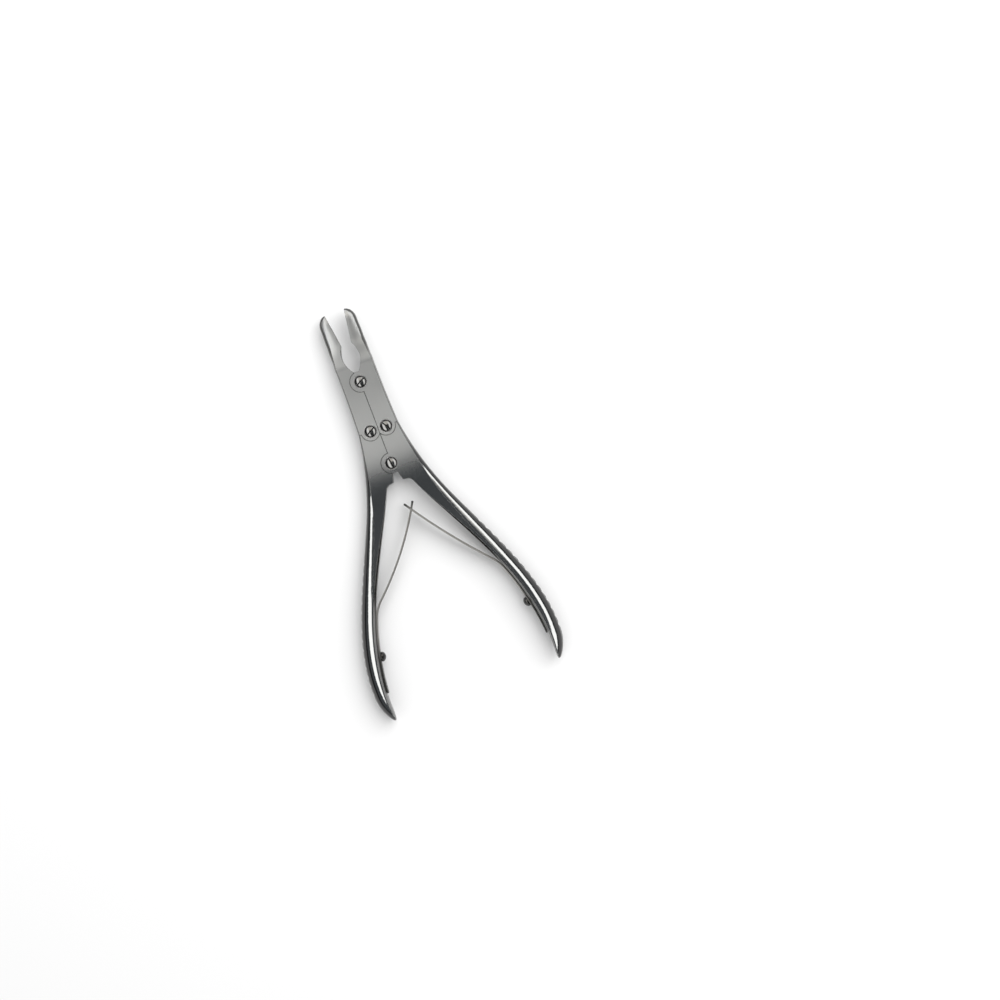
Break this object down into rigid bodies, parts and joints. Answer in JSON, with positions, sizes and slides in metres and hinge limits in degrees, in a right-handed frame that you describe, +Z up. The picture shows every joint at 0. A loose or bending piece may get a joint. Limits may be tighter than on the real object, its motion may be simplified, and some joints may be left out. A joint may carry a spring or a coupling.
{
  "type": "bone rongeur",
  "caption": "Double-action bone rongeur: cupped cutting jaws on a lapped four-pivot linkage, bowed serrated handles and two crossed leaf springs that hold it open.",
  "frame": {"origin": "bottom centre of the bounding box with the instrument lying open on its side", "axes": "+Y towards the jaw tips, +X to the right seen from above, +Z up out of the screw heads"},
  "size_m": [0.0916, 0.1858, 0.0114],
  "materials": {
    "satin_steel": "satin-brushed stainless steel on the flat faces, polished on the rounded edges",
    "spring_steel": "satin spring strip",
    "polished_steel": "bright polished screw heads with clean slots",
    "dark_steel": "polished dark-looking spring screws"
  },
  "bodies": {
    "left_handle": {"left_handle": "satin_steel", "left_spring_leaf": "spring_steel", "left_spring_screw": "dark_steel", "rear_pivot_screw": "polished_steel", "left_link_screw": "polished_steel"},
    "right_handle": {"right_handle": "satin_steel", "right_spring_leaf": "spring_steel", "right_spring_screw": "dark_steel", "right_link_screw": "polished_steel"},
    "left_jaw": {"left_jaw": "satin_steel", "front_pivot_screw": "polished_steel"},
    "right_jaw": {"right_jaw": "satin_steel"}
  },
  "joints": [
    {"name": "handle_hinge", "type": "hinge", "parent": "left_handle", "child": "right_handle", "pos_m": [0, 0.0186, 0.0057], "axis": [0, 0, -1], "range_deg": [0, 21.7], "stiffness_Nm_per_rad": 1.5, "springref_deg": -6.88, "deforming": ["left_spring_leaf", "right_spring_leaf"]},
    {"name": "left_jaw_hinge", "type": "hinge", "parent": "left_handle", "child": "left_jaw", "pos_m": [-0.00384, 0.0355, 0.0057], "axis": [0, 0, -1], "range_deg": [0, 18.7]},
    {"name": "right_jaw_hinge", "type": "hinge", "parent": "right_handle", "child": "right_jaw", "pos_m": [0.00384, 0.0355, 0.0057], "axis": [0, 0, 1], "range_deg": [0, 18.7]}
  ],
  "couplings": [
    {"joint": "left_jaw_hinge", "follows": "handle_hinge", "ratio": 0.861},
    {"joint": "right_jaw_hinge", "follows": "handle_hinge", "ratio": 0.861}
  ]
}
